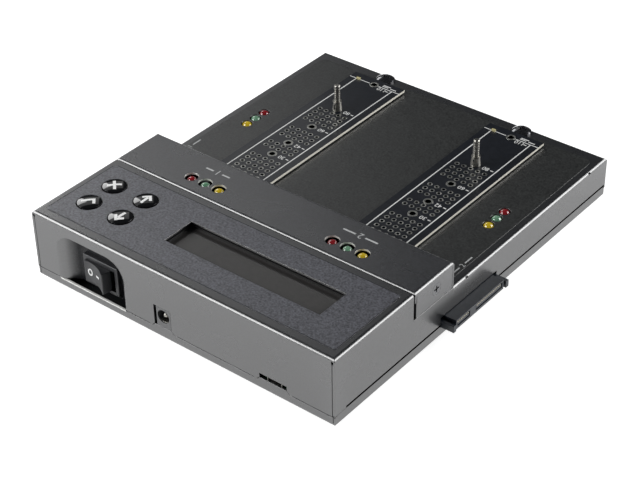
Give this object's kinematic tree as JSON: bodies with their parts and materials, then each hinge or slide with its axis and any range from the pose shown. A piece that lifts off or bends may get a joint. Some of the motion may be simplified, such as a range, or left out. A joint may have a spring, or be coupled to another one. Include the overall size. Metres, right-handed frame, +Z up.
{
  "type": "drive duplicator",
  "caption": "Desktop drive duplicator: folded steel case with a raised control housing, display and keys, a low deck with M.2 card slots, and a drive connector on each side.",
  "frame": {"origin": "on the ground under the middle of the case", "axes": "+Y out of the rear wall with the power switch, +X to the target side, +Z up"},
  "size_m": [0.1824, 0.2096, 0.0391],
  "materials": {
    "case_paint": "fine black powder coat",
    "pan_paint": "fine black powder coat",
    "bridge_paint": "fine black powder coat",
    "pad_foam": "closed-cell black foam",
    "foot_rubber": "moulded black rubber",
    "zinc_steel": "bare zinc-plated steel",
    "black_screw": "black zinc",
    "panel_print": "textured polycarbonate overlay",
    "deck_print": "textured polycarbonate overlay",
    "fr4_black": "black solder mask",
    "fr4_green": "green solder mask",
    "bezel_steel": "black display frame",
    "lcd_glass": "dark display glass",
    "backlight": "white light guide",
    "key_cap": "gloss black with white print",
    "black_plastic": "moulded black nylon",
    "rocker_plastic": "satin black nylon",
    "socket_plastic": "moulded black LCP",
    "white_plastic": "moulded off-white nylon",
    "lamp_red": "clear tinted epoxy",
    "lamp_green": "clear tinted epoxy",
    "lamp_yellow": "clear tinted epoxy",
    "tinned_copper": "tinned",
    "gold_contact": "gold flash",
    "nickel": "nickel plate",
    "chip_epoxy": "moulded epoxy",
    "capacitor_can": "satin can",
    "ferrite": "moulded ferrite",
    "cable_grey": "PVC ribbon",
    "lead_pvc": "PVC insulation",
    "brass_tab": "tinned brass"
  },
  "bodies": {
    "case": {"board_screws": "zinc_steel", "board_sockets": "white_plastic", "board_standoffs": "zinc_steel", "bottom_pan": "pan_paint", "bridge_cover": "bridge_paint", "bridge_screws": "black_screw", "card_inserts": "tinned_copper", "card_post_source": "nickel", "card_post_target": "nickel", "card_socket_pins": "gold_contact", "card_socket_source": "socket_plastic", "card_socket_target": "socket_plastic", "case_brackets": "zinc_steel", "case_screws": "black_screw", "deck_film": "deck_print", "display_backlight": "backlight", "display_board": "fr4_green", "display_frame": "bezel_steel", "display_glass": "lcd_glass", "drive_socket_pins": "gold_contact", "drive_socket_source": "socket_plastic", "drive_socket_target": "socket_plastic", "flat_cable": "cable_grey", "key_switches": "black_plastic", "lamp_spacers": "black_plastic", "lamps_green": "lamp_green", "lamps_red": "lamp_red", "lamps_yellow": "lamp_yellow", "main_board": "fr4_green", "main_capacitors": "capacitor_can", "main_chips": "chip_epoxy", "main_inductors": "ferrite", "panel_board": "fr4_green", "panel_film": "panel_print", "panel_studs": "zinc_steel", "plated_rings": "tinned_copper", "power_inlet": "black_plastic", "power_pin": "nickel", "rubber_feet": "foot_rubber", "side_board_source": "fr4_green", "side_board_target": "fr4_green", "slot_board_source": "fr4_black", "slot_board_target": "fr4_black", "slot_chips": "white_plastic", "slot_headers": "black_plastic", "slot_nuts": "zinc_steel", "slot_pads": "pad_foam", "slot_screws": "black_screw", "switch_body": "black_plastic", "switch_leads": "lead_pvc", "switch_pocket": "case_paint", "switch_terminals": "brass_tab", "top_shell": "case_paint", "usb_shell": "nickel", "usb_tongue": "black_plastic"},
    "switch_rocker": {"switch_rocker": "rocker_plastic"},
    "key_accept": {"key_accept": "key_cap"},
    "key_cancel": {"key_cancel": "key_cap"},
    "key_up": {"key_up": "key_cap"},
    "key_down": {"key_down": "key_cap"}
  },
  "joints": [
    {"name": "switch_rock", "type": "hinge", "parent": "case", "child": "switch_rocker", "pos_m": [0.04735, 0.097, 0.01595], "axis": [0, 0, 1], "range_deg": [0, 28]},
    {"name": "key_accept_press", "type": "slide", "parent": "case", "child": "key_accept", "axis": [0, 0, -1], "range_m": [0, 0.0008], "stiffness_N_per_m": 1500},
    {"name": "key_cancel_press", "type": "slide", "parent": "case", "child": "key_cancel", "axis": [0, 0, -1], "range_m": [0, 0.0008], "stiffness_N_per_m": 1500},
    {"name": "key_up_press", "type": "slide", "parent": "case", "child": "key_up", "axis": [0, 0, -1], "range_m": [0, 0.0008], "stiffness_N_per_m": 1500},
    {"name": "key_down_press", "type": "slide", "parent": "case", "child": "key_down", "axis": [0, 0, -1], "range_m": [0, 0.0008], "stiffness_N_per_m": 1500}
  ]
}
